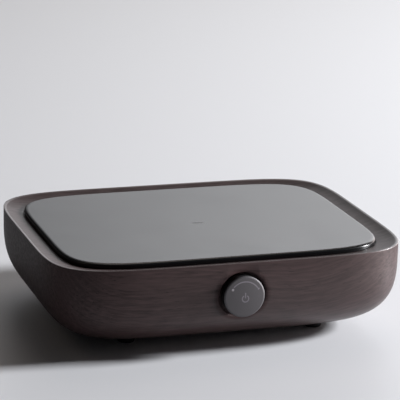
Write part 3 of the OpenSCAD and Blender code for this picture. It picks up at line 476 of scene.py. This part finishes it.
def makeFinish(name, first, second, roughLow, roughHigh, metallic, mottleMm, stretch, bumpMm):
    material, tree, shader = newMaterial(name, {"Metallic": metallic})
    place = addNode(tree, "TexCoord").outputs["Object"]
    drawn = addNode(tree, "Mapping", {"Scale": stretch}, {"Vector": place}).outputs[0]
    mottle = addNode(tree, "TexNoise", {"Scale": 1 / (mottleMm * mm), "Detail": 3.0, "Roughness": 0.6},
                     {"Vector": drawn}).outputs[0]
    # Half mottle, half broader blotches
    blotch = addNode(tree, "TexNoise", {"Scale": 1 / (blotchMm * mm), "Detail": 2.0},
                     {"Vector": place}).outputs[0]
    half = addNode(tree, "Math", {"operation": "MULTIPLY", 1: 0.5}, {0: blotch}).outputs[0]
    share = addNode(tree, "Math", {"operation": "MULTIPLY_ADD", 1: 0.5}, {0: mottle, 2: half}).outputs[0]
    spread = addNode(tree, "MapRange", {"From Min": noiseLow, "From Max": noiseHigh},
                     {"Value": share}).outputs[0]
    colour = addNode(tree, "Mix", {"data_type": "RGBA", 6: linear(first), 7: linear(second)},
                     {0: spread}).outputs[2]
    tree.links.new(colour, shader.inputs["Base Color"])
    rough = addNode(tree, "MapRange", {
        "From Min": noiseFloor, "From Max": noiseTop, "To Min": roughLow, "To Max": roughHigh},
        {"Value": mottle}).outputs[0]
    tree.links.new(rough, shader.inputs["Roughness"])
    bump = addNode(tree, "Bump", {"Strength": bumpStrength, "Distance": bumpMm * mm},
                   {"Height": mottle}).outputs[0]
    tree.links.new(bump, shader.inputs["Normal"])
    return material


materials = {slot: makeFinish(*settings) for slot, settings in finishes.items()}
materials["walnut"] = makeWalnut()
materials["black_glass"] = makePlateGlass()
materials["knob_grey"] = makeKnobMetal()
for part in frame["record"]["subparts"]:
    nodes[part["node"]].data.materials.clear()
    nodes[part["node"]].data.materials.append(materials[part["material_slot"]])
print("materials made:", len(materials))


# The walnut tub: one stack of soft square rings from the flat bottom over the crest to the floor inside
tub = dict(width=270, depth=221, crest=68, bottom=5.5, squareness=5.8, points=384,
           straight=10, run=66, overrun=1.5, sideSquareness=3, sideSteps=36, crestRound=0.5, crestSteps=6,
           rim=14.5, rimSteps=10, drop=3.4, hollow=0.35, plateGap=0.4, plateTop=68.3, plateThick=4, seal=0.8,
           seat=9.5, ledge=10, ledgeZ=34, floorZ=14.5, edge=0.35)
# Pieces that the tub is cut for
knob = dict(d=30.5, out=5, z=44, recess=5.5, gap=1.4, disc=1.6, lip=0.4, front=3, wall=2, travel=0.8,
            back=0.3, bevel=1.6, bevelStep=9, fall=1.0, dome=0.5, domeSteps=10, cupEdge=0.4,
            mouth=2.2, mouthTurn=75, mouthStep=15, mouthReach=4, bushHole=7.2, web=3, pocket=(38.6, 20.6))
inlet = dict(x=60, z=46, sink=4.9, flange=(50, 22, 3), corner=3, edge=0.5, fit=0.3, holeFit=0.1,
             socket=(24, 16.2, 16), wall=1.7, mouthEdge=0.4, cut=4.5, box=19, boxCorner=0.8,
             pin=(2, 4), pinCorner=0.3, pinEdge=0.5, pinRow=4, pinSpan=14, pinTip=5, pinTail=7,
             span=40, head=(2.6, 1.4), shank=(1.4, 12))
cover = dict(size=(168, 106), corner=18, ledge=7, gap=0.4, sink=0.5, thick=2.5)
foot = dict(span=(145, 126), d=14, taper=0.8, edge=0.9, upperEdge=0.15, stem=6, stemLength=7, stemEdge=0.5)
footPlaces = [(x * foot["span"][0] / 2, y * foot["span"][1] / 2) for x in (-1, 1) for y in (-1, 1)]
# How long the cutters are, and how far outside or inside the wood they start
cuts = dict(below=5, opening=20, rebateBelow=6, recess=30, hole=20, holeFront=5, pocket=30,
            socket=40, socketIn=24, seat=20, stem=12.5, stemFit=0.05)
frontY = -tub["depth"] / 2
backY = tub["depth"] / 2


def tubProfile():
    t = tub
    drop = t["crest"] - t["bottom"] - t["straight"] + t["overrun"]
    turn = asin(((drop - t["overrun"]) / drop) ** (t["sideSquareness"] / 2))
    power = 2 / t["sideSquareness"]
    steps = []
    for i in range(t["sideSteps"], -1, -1):
        a = turn * i / t["sideSteps"]
        steps.append((t["run"] * (1 - cos(a) ** power), t["crest"] - t["straight"] - drop * sin(a) ** power))
    for i in range(t["crestSteps"] + 1):
        a = pi / 2 * i / t["crestSteps"]
        steps.append((t["crestRound"] * (1 - cos(a)), t["crest"] - t["crestRound"] * (1 - sin(a))))
    inner = t["rim"] - t["plateGap"]
    for i in range(1, t["rimSteps"] + 1):
        s = i / t["rimSteps"]
        steps.append((t["crestRound"] + (inner - t["edge"] - t["crestRound"]) * s,
                      t["crest"] - t["drop"] * s - t["hollow"] * sin(pi * s)))
    seatZ = t["plateTop"] - t["plateThick"] - t["seal"]
    rimZ = t["crest"] - t["drop"]
    bend = t["edge"] * edgeMiddle
    steps += [(inner - bend, rimZ - bend), (inner, rimZ - t["edge"]), (inner, seatZ)]
    wall = t["rim"] + t["seat"]
    ledge = wall + t["ledge"]
    return steps + [(wall, seatZ), (wall, t["ledgeZ"]), (ledge, t["ledgeZ"]), (ledge, t["floorZ"])]


def frontInset(z):
    # How far the front has drawn back from the crest at a height
    t = tub
    below = t["crest"] - t["straight"] - z
    if below <= 0:
        return 0
    share = (below / (below + z - t["bottom"] + t["overrun"])) ** t["sideSquareness"]
    return t["run"] * (1 - (1 - share) ** (1 / t["sideSquareness"]))


def recessMouth():
    # A ring that rounds the edge of the knob's recess and follows the front as it draws back
    k = knob
    r, c = k["d"] / 2 + k["gap"], k["mouth"]
    angles = [radians(a) for a in range(0, k["mouthTurn"] + 1, k["mouthStep"])]
    turned = [(r + c * (1 - cos(a)), c * (sin(a) - 1)) for a in angles]
    # The last step runs on past the front
    (r1, h1), (r2, h2) = turned[-2:]
    end = (r2 + k["mouthReach"] * (r2 - r1), h2 + k["mouthReach"] * (h2 - h1))
    inner = r - pastMm
    bm = spunShape([(inner, -c), *turned, end, (inner, end[1]), (inner, -c)], turns["ring"])
    moveShape(bm, (0, frontY, k["z"]), outFront)
    for v in bm.verts:
        v.co.y += frontInset(v.co.z)
    return bm


def rod(radius, length, steps):
    return spunShape([(0, 0), (radius, 0), (radius, length), (0, length)], steps)


def tubCutters():
    c, k, n = cover, knob, inlet
    width, depth = c["size"]
    opening = roundedBar(width - 2 * c["ledge"], depth - 2 * c["ledge"], cuts["opening"],
                         c["corner"] - c["ledge"])
    rebate = roundedBar(width + 2 * c["gap"], depth + 2 * c["gap"],
                        cuts["rebateBelow"] + c["sink"] + c["thick"], c["corner"] + c["gap"], steps=8)
    recess = rod(k["d"] / 2 + k["gap"], cuts["recess"], turns["ring"])
    hole = rod(k["bushHole"] / 2, cuts["hole"], turns["hole"])
    pocketW, pocketH = k["pocket"]
    pocketY = frontY + k["recess"] + k["web"]
    pocket = roundedBar(pocketW, cuts["pocket"], pocketH, 0)
    around = n["wall"] + n["fit"]
    socket = roundedBar(n["socket"][0] + 2 * around, cuts["socket"], n["socket"][1] + 2 * around, 0)
    seat = roundedBar(n["flange"][0] + 2 * n["fit"], n["flange"][1] + 2 * n["fit"], cuts["seat"],
                      n["corner"] + n["fit"])
    shaped = [
        moveShape(opening, (0, 0, tub["bottom"] - cuts["below"])),
        moveShape(rebate, (0, 0, tub["bottom"] - cuts["rebateBelow"])),
        moveShape(recess, (0, frontY + k["recess"], k["z"]), outFront),
        moveShape(hole, (0, frontY + k["recess"] - cuts["holeFront"], k["z"]), alongY),
        moveShape(pocket, (0, pocketY + cuts["pocket"] / 2, k["z"] - pocketH / 2)),
        moveShape(socket, (n["x"], backY - cuts["socketIn"], n["z"] - n["socket"][1] / 2 - around)),
        moveShape(seat, (n["x"], backY - n["sink"], n["z"]), alongY),
        recessMouth(),
    ]
    for x, y in footPlaces:
        stem = rod(foot["stem"] / 2 + cuts["stemFit"], cuts["stem"], turns["dot"])
        shaped.append(moveShape(stem, (x, y, tub["bottom"] - cuts["below"])))
    return shaped


bm = bmesh.new()
stackRings(bm, tub["width"] / 2, tub["depth"] / 2, tubProfile(), tub["squareness"], tub["points"])
bm = carve(bm, tubCutters())
tubPiece = finishPiece("walnutTub", bm, materials["walnut"], "tub", ["housing"])
print("walnut tub:", len(tubPiece.data.polygons), "faces")


# Glass plate whose polished upper edge curves over like a quarter of an ellipse
plate = dict(edge=(3, 1.6), edgeSteps=12, breakEdge=0.4)


def plateProfile():
    t, p = tub, plate
    low, high = t["plateTop"] - t["plateThick"], t["plateTop"]
    steps = [(t["rim"] + p["breakEdge"], low), (t["rim"], low + p["breakEdge"])]
    width, height = p["edge"]
    for i in range(p["edgeSteps"] + 1):
        a = pi / 2 * i / p["edgeSteps"]
        steps.append((t["rim"] + width * (1 - cos(a)), high - height * (1 - sin(a))))
    return steps


bm = bmesh.new()
stackRings(bm, tub["width"] / 2, tub["depth"] / 2, plateProfile(), tub["squareness"], tub["points"])
platePiece = finishPiece("glassPlate", bm, materials["black_glass"], "tub", ["glass_plate"])
print("glass plate:", len(platePiece.data.polygons), "faces")


# Knob: a black moulded cup with a grey metal disc let into its front, drawn from the face backwards
def domeAt(r):
    return knob["dome"] * (r / (knob["d"] / 2 - knob["bevel"])) ** 2


def faceProfile():
    # Crown, soft edge, side and flat back
    k = knob
    r, flat = k["d"] / 2, k["d"] / 2 - k["bevel"]
    crown = [(x, domeAt(x)) for x in (flat * i / k["domeSteps"] for i in range(k["domeSteps"]))]
    angles = [radians(a) for a in range(0, 91, k["bevelStep"])]
    edge = [(flat + k["bevel"] * sin(a), k["dome"] + k["fall"] * (1 - cos(a))) for a in angles]
    return crown + edge + [(r, k["disc"]), (0, k["disc"])]


def cupProfile():
    k = knob
    r, length = k["d"] / 2 - k["lip"], k["out"] + k["recess"] - k["travel"] - k["back"]
    e, bend = k["cupEdge"], k["cupEdge"] * edgeMiddle
    return [(0, k["disc"]), (r, k["disc"]), (r, length - e), (r - bend, length - bend), (r - e, length),
            (r - k["wall"], length), (r - k["wall"], k["front"]), (0, k["front"])]


def onKnob(shape):
    moveShape(shape, (0, frontY - knob["out"], knob["z"]), alongY)
    bmesh.ops.recalc_face_normals(shape, faces=shape.faces)
    return shape


face = onKnob(spunShape(faceProfile(), turns["face"]))
facePiece = finishPiece("knobFace", face, materials["knob_grey"], "push_knob", ["knob_face"],
                        sharp=50)
cup = onKnob(spunShape(cupProfile(), turns["ring"]))
finishPiece("knobCup", cup, materials["black_plastic"], "push_knob", ["knob"])
print("knob:", len(facePiece.data.polygons), "faces on the disc")

# Marks printed on the disc: degrees run from the right, over the top
marks = dict(arc=(11.3, 0.9, 34, 138), dot=(10.8, 1.9, 147), end=(11.6, 1.5, 29), ring=(2.4, 0.9, 120, 420),
             ringAt=(0.4, -1.2), stroke=(0.9, 4.2), strokeCorner=0.3, strokeY=1.2, thick=0.05, sink=0.03,
             arcStep=4, leastSteps=8)


def inkArc(radius, width, start, stop):
    m = marks
    bm = bmesh.new()
    inner, outer = radius - width / 2, radius + width / 2
    corners = [(inner, 0), (outer, 0), (outer, m["thick"]), (inner, m["thick"])]
    verts = [bm.verts.new((r, 0, z)) for r, z in corners]
    section = bm.faces.new(verts)
    bmesh.ops.rotate(bm, cent=(0, 0, 0), matrix=Matrix.Rotation(radians(start), 3, "Z"), verts=verts)
    steps = max(m["leastSteps"], round((stop - start) / m["arcStep"]))
    bmesh.ops.spin(bm, geom=[section, *section.edges, *verts], axis=(0, 0, 1), cent=(0, 0, 0),
                   angle=radians(stop - start), steps=steps)
    bmesh.ops.recalc_face_normals(bm, faces=bm.faces)
    return bm


def inkDot(radius, width, angle):
    dot = rod(width / 2, marks["thick"], turns["dot"])
    return moveShape(dot, (radius * cos(radians(angle)), radius * sin(radians(angle)), 0))


def printedOn(shapes):
    # Drawn flat with Y up, laid over the crown and stood on the disc's face
    for shape in shapes:
        for v in shape.verts:
            v.co.z -= domeAt(v.co.xy.length) + marks["sink"]
        moveShape(shape, (0, frontY - knob["out"], knob["z"]), outFront)
    return together(shapes)


stroke = roundedBar(*marks["stroke"], marks["thick"], marks["strokeCorner"])
sign = [moveShape(inkArc(*marks["ring"]), (*marks["ringAt"], 0)),
        moveShape(stroke, (marks["ringAt"][0], marks["strokeY"], 0))]
arcs = [inkArc(*marks["arc"]), inkDot(*marks["end"])]
finishPiece("knobSign", printedOn(sign + arcs), materials["grey_ink"], "push_knob")
pointer = [inkDot(*marks["dot"])]
finishPiece("knobPointer", printedOn(pointer), materials["white_ink"], "push_knob")
print("knob marks printed")


# Rubber feet, moulded, with a soft lower edge and a stem that pushes into the wood
def footProfile():
    f = foot
    r, bottom, e, stem = f["d"] / 2, tub["bottom"], f["edge"], f["stem"] / 2
    low, top = r - f["taper"], bottom + f["stemLength"]
    turned = [(low - e + e * sin(radians(a)), e - e * cos(radians(a))) for a in range(0, 91, 15)]
    return [(0, 0), *turned, (r, bottom - f["upperEdge"]), (r - f["upperEdge"], bottom), (stem, bottom),
            (stem, top - f["stemEdge"]), (stem - f["stemEdge"], top), (0, top)]


feet = [moveShape(spunShape(footProfile(), turns["foot"]), (x, y, 0)) for x, y in footPlaces]
feetPiece = finishPiece("rubberFeet", together(feet), materials["black_rubber"], "tub",
                        ["feet"])
print("feet:", len(feet))


# Screws with a cross recess, head up and seated at z = 0
screws = dict(recess=0.8, slotWidth=0.75, slotReach=1.2, slotHeight=2, slotCorner=0.15, edge=0.3, tip=0.5)


def crossScrew(headR, headH, shankR, shankLength):
    s = screws
    bend = s["edge"] * edgeMiddle
    head = spunShape([(0, headH), (headR - s["edge"], headH), (headR - bend, headH - bend),
                      (headR, headH - s["edge"]), (headR, 0), (shankR, 0), (shankR, s["tip"] - shankLength),
                      (shankR - s["tip"], -shankLength), (0, -shankLength)], turns["screw"])
    slots = []
    for turn in (0, pi / 2):
        bar = roundedBar(headR * s["slotReach"], s["slotWidth"], s["slotHeight"], s["slotCorner"], steps=3)
        slots.append(moveShape(bar, (0, 0, headH - s["recess"]), Matrix.Rotation(turn, 3, "Z")))
    return carve(head, slots)


coverScrew = dict(head=(2.8, 1.2), shank=(1.5, 5))
coverX, coverY = (v / 2 for v in cover["size"])
rowX, rowY = coverX - cover["ledge"] / 2, coverY - cover["ledge"] / 2
sideY = coverY - cover["corner"]
seats = [(x * rowX, y * sideY) for x in (-1, 1) for y in (-1, 1)] + [(0, -rowY), (0, rowY)]
headZ = tub["bottom"] + cover["sink"] + coverScrew["head"][1]
shapes = [moveShape(crossScrew(*coverScrew["head"], *coverScrew["shank"]), (x, y, headZ), upsideDown)
          for x, y in seats]
finishPiece("coverScrews", together(shapes), materials["black_screw"], "tub", ["cover_screws"])
print("cover screws:", len(seats))


# Power inlet at the back: drawn with +Z out of the back and +Y down
def onBack(shape):
    return moveShape(shape, (inlet["x"], backY - inlet["sink"], inlet["z"]), alongY)


def mouthShape():
    # The upper corners are cut off, so that a lead goes in one way up
    n = inlet
    w, h, depth = n["socket"]
    bm = bmesh.new()
    corners = [(-w / 2, h / 2), (w / 2, h / 2), (w / 2, n["cut"] - h / 2), (w / 2 - n["cut"], -h / 2),
               (n["cut"] - w / 2, -h / 2), (-w / 2, n["cut"] - h / 2)]
    base = bm.faces.new([bm.verts.new((x, y, n["flange"][2] - depth)) for x, y in corners])
    top = bmesh.ops.extrude_face_region(bm, geom=[base])
    bmesh.ops.translate(bm, vec=(0, 0, depth + pastMm), verts=newVerts(top))
    bmesh.ops.recalc_face_normals(bm, faces=bm.faces)
    return bm


def inletShape():
    n = inlet
    w, h, depth = n["socket"]
    thick, fit = n["flange"][2], n["holeFit"]
    bm = roundedBar(*n["flange"], n["corner"], steps=8)
    bevelSharp(bm, n["edge"], lambda e: min(v.co.z for v in e.verts) > thick - tinyMm)
    box = roundedBar(w + 2 * n["wall"], h + 2 * n["wall"], n["box"] + pastMm, n["boxCorner"], steps=4)
    bm = carve(bm, [moveShape(box, (0, 0, -n["box"]))], "UNION")
    tools = [mouthShape()]
    for x, y in pinPlaces:
        slit = roundedBar(n["pin"][0] + fit, n["pin"][1] + fit, n["box"], 0)
        tools.append(moveShape(slit, (x, y, -n["box"] - pastMm)))
    headR, headH = n["head"]
    headR, hole, headZ = headR + fit, n["shank"][0] + fit, thick - headH
    for side in (-1, 1):
        step = spunShape([(0, -pastMm), (hole, -pastMm), (hole, headZ), (headR, headZ),
                          (headR, thick + pastMm), (0, thick + pastMm)], turns["screw"])
        tools.append(moveShape(step, (side * n["span"] / 2, 0, 0)))
    bm = carve(bm, tools)

    def onMouth(edge):
        return all(v.co.z > thick - tinyMm and abs(v.co.x) < w / 2 + fit and abs(v.co.y) < h / 2 + fit
                   for v in edge.verts)

    bevelSharp(bm, n["mouthEdge"], onMouth, segments=2)
    return bm


def pinShape(x, y):
    n = inlet
    length = n["box"] + n["pinTail"] + n["flange"][2] - n["pinTip"]
    bm = roundedBar(*n["pin"], length, n["pinCorner"], steps=3)
    bevelSharp(bm, n["pinEdge"], lambda e: min(v.co.z for v in e.verts) > length - tinyMm)
    return moveShape(bm, (x, y, -n["box"] - n["pinTail"]))


row, span = inlet["pinRow"] / 2, inlet["pinSpan"] / 2
pinPlaces = [(-span, row), (span, row), (0, -row)]
finishPiece("inletShell", onBack(inletShape()), materials["black_plastic"], "tub",
            ["inlet_shell"])
pins = [pinShape(x, y) for x, y in pinPlaces]
finishPiece("inletPins", onBack(together(pins)), materials["brass"], "tub", ["inlet_pins"])
seatZ = inlet["flange"][2] - inlet["head"][1]
shapes = [moveShape(crossScrew(*inlet["head"], *inlet["shank"]), (side * inlet["span"] / 2, 0, seatZ))
          for side in (-1, 1)]
finishPiece("inletScrews", onBack(together(shapes)), materials["black_screw"], "tub",
            ["inlet_screws"])
print("power inlet fitted")


# Stage: a pale table with a soft gloss that mirrors the room, and light from the right and the back
floor = dict(size=16, near="#d2d3d6", far="#d5d5d6", nearY=-0.3, farY=1.5, roughness=0.42, gloss=0.17)


def makeFloor():
    material, tree, shader = newMaterial("table, satin lacquer", {
        "Roughness": floor["roughness"], "Specular IOR Level": floor["gloss"]})
    place = addNode(tree, "TexCoord").outputs["Object"]
    # Painted light: the table's colour grows a little lighter towards the back, standing in for more light
    # falling there
    away = addNode(tree, "SeparateXYZ", None, {0: place}).outputs["Y"]
    share = addNode(tree, "MapRange", {"From Min": floor["nearY"], "From Max": floor["farY"]},
                    {"Value": away}).outputs[0]
    colour = addNode(tree, "Mix", {"data_type": "RGBA", 6: linear(floor["near"]), 7: linear(floor["far"])},
                     {0: share}).outputs[2]
    tree.links.new(colour, shader.inputs["Base Color"])
    return material


bm = bmesh.new()
bmesh.ops.create_grid(bm, x_segments=8, y_segments=8, size=floor["size"] / 2)
floorPiece = newObject("floor", bm, makeFloor())

lights = {
    "window": dict(place=(3.23, -0.397, 1.47), size=(0.63, 0.63), watts=277, tint="#fbfcff"),
    "panel": dict(place=(0.793, -0.404, 0.05), size=(0.5, 0.09), watts=8.9, tint="#fff5f4", skipsFloor=True),
}
aim = Vector((0, 0, 0.03))
for name, light in lights.items():
    data = bpy.data.lights.new(name, "AREA")
    data.shape = "RECTANGLE"
    data.size, data.size_y = light["size"]
    data.energy = light["watts"]
    data.color = linear(light["tint"])[:3]
    lamp = bpy.data.objects.new(name, data)
    lamp.location = light["place"]
    lamp.rotation_euler = (aim - Vector(light["place"])).to_track_quat("-Z", "Y").to_euler()
    scene.collection.objects.link(lamp)
    if light.get("skipsFloor"):  # It shapes the front, but the shadow on the table and the feet stay dark
        shy = bpy.data.collections.new(name + " receivers")
        for piece in (floorPiece, feetPiece):
            shy.objects.link(piece)
        for link in shy.collection_objects:
            link.light_linking.link_state = "EXCLUDE"
        lamp.light_linking.receiver_collection = shy

# Room: dim, with a bright wall behind, a warm glow overhead and warm walls at the right and the left
room = dict(tint="#f4f6fa", dim=0.03)
# Bearings in degrees from straight back towards the right, heights as the sine of the elevation
walls = {
    "low": dict(glow=1.7, tint="#f4f5f8",
                starts=(-6, 37), ends=(34, 44), rises=(-0.1, 0.0), fades=(0.4, 0.54)),
    "high": dict(glow=2.35, tint="#f4f5f8",
                 starts=(-6, 37), ends=(34, 44), rises=(0.2, 0.46), fades=(0.42, 0.55)),
    "over": dict(glow=1.3, tint="#fff1e8",
                 starts=(-10, 20), ends=(30, 50), rises=(0.6, 0.75), fades=(0.9, 1.0)),
    "right": dict(glow=2.7, tint="#fff3f1",
                  starts=(30, 42), ends=(60, 90), rises=(-0.1, 0.0), fades=(0.3, 0.45)),
    "left": dict(glow=0.3, tint="#ffe6d4",
                 starts=(-100, -85), ends=(-65, -50), rises=(0.55, 0.7), fades=(0.86, 0.98)),
}


def makeRoom():
    world = bpy.data.worlds.new("room")
    world.use_nodes = True
    tree = world.node_tree
    way = addNode(tree, "SeparateXYZ", None, {0: addNode(tree, "TexCoord").outputs["Generated"]}).outputs
    bearing = addNode(tree, "Math", {"operation": "ARCTAN2"}, {0: way["X"], 1: way["Y"]}).outputs[0]
    glow = addNode(tree, "RGB").outputs[0]
    glow.default_value = tuple(c * room["dim"] for c in linear(room["tint"]))
    for w in walls.values():
        share = addNode(tree, "Value").outputs[0]
        share.default_value = w["glow"]
        for source, (low, high), first, last in ((bearing, [radians(v) for v in w["starts"]], 0, 1),
                                                 (bearing, [radians(v) for v in w["ends"]], 1, 0),
                                                 (way["Z"], w["rises"], 0, 1), (way["Z"], w["fades"], 1, 0)):
            step = addNode(tree, "MapRange", {
                "interpolation_type": "SMOOTHSTEP", "From Min": low, "From Max": high,
                "To Min": first, "To Max": last}, {"Value": source}).outputs[0]
            share = addNode(tree, "Math", {"operation": "MULTIPLY"}, {0: share, 1: step}).outputs[0]
        glow = addNode(tree, "VectorMath", {"operation": "MULTIPLY_ADD", 1: linear(w["tint"])[:3]},
                       {0: share, 2: glow}).outputs[0]
    tree.links.new(glow, tree.nodes["Background"].inputs["Color"])
    return world


scene.world = makeRoom()
scene.view_settings.view_transform = "Standard"
print("stage lit")


# Camera at the photograph's place: angles in degrees, distance in tub widths
view = dict(azimuth=-17.9, elevation=15.88, roll=1.22, distance=5.92, lens=190.1, shift=(0.0084, 0.0533))
a, e, r = (radians(view[key]) for key in ("azimuth", "elevation", "roll"))
back = Vector((sin(a) * cos(e), -cos(a) * cos(e), sin(e)))
right = Vector((cos(a), sin(a), 0))
up = back.cross(right)
turned = (cos(r) * right + sin(r) * up, cos(r) * up - sin(r) * right, back)
target = Vector((0, middleY, tubHigh.z))
cameraData = bpy.data.cameras.new("camera")
cameraData.lens = view["lens"]
cameraData.shift_x, cameraData.shift_y = view["shift"]
camera = bpy.data.objects.new("camera", cameraData)
spot = target + back * view["distance"] * (tubHigh.x - tubLow.x)
camera.matrix_world = Matrix.Translation(spot) @ Matrix(turned).transposed().to_4x4()
scene.collection.objects.link(camera)
scene.camera = camera
print("camera set")
